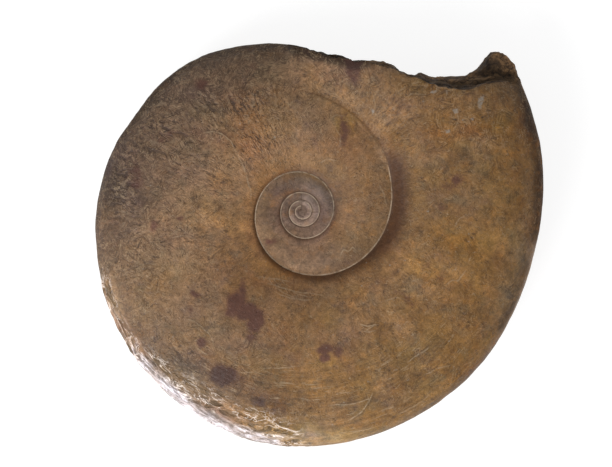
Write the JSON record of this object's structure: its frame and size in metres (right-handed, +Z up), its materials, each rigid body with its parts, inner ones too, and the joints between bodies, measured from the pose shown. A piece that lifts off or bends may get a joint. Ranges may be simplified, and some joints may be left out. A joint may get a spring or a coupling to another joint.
{
  "type": "ammonite fossil",
  "caption": "Large spiral ammonite fossil, a brown limestone internal mould with a broken mouth, lying on one flank as a display piece.",
  "frame": {"origin": "on the surface the fossil lies on, under the centre of its footprint's box", "axes": "+Z up, out of the upper flank along the coil's axis; +X along the longest extent, away from the start of the last whorl and through the side of its mouth; +Y towards the edge that the broken mouth faces"},
  "size_m": [0.3, 0.2706, 0.0694],
  "materials": {
    "limestone_mould": "worn semi-matte stone, waxy in the hollows, with darker brown patches and fine suture lines"
  },
  "bodies": {
    "root": {"ammonite": "limestone_mould"}
  },
  "joints": []
}
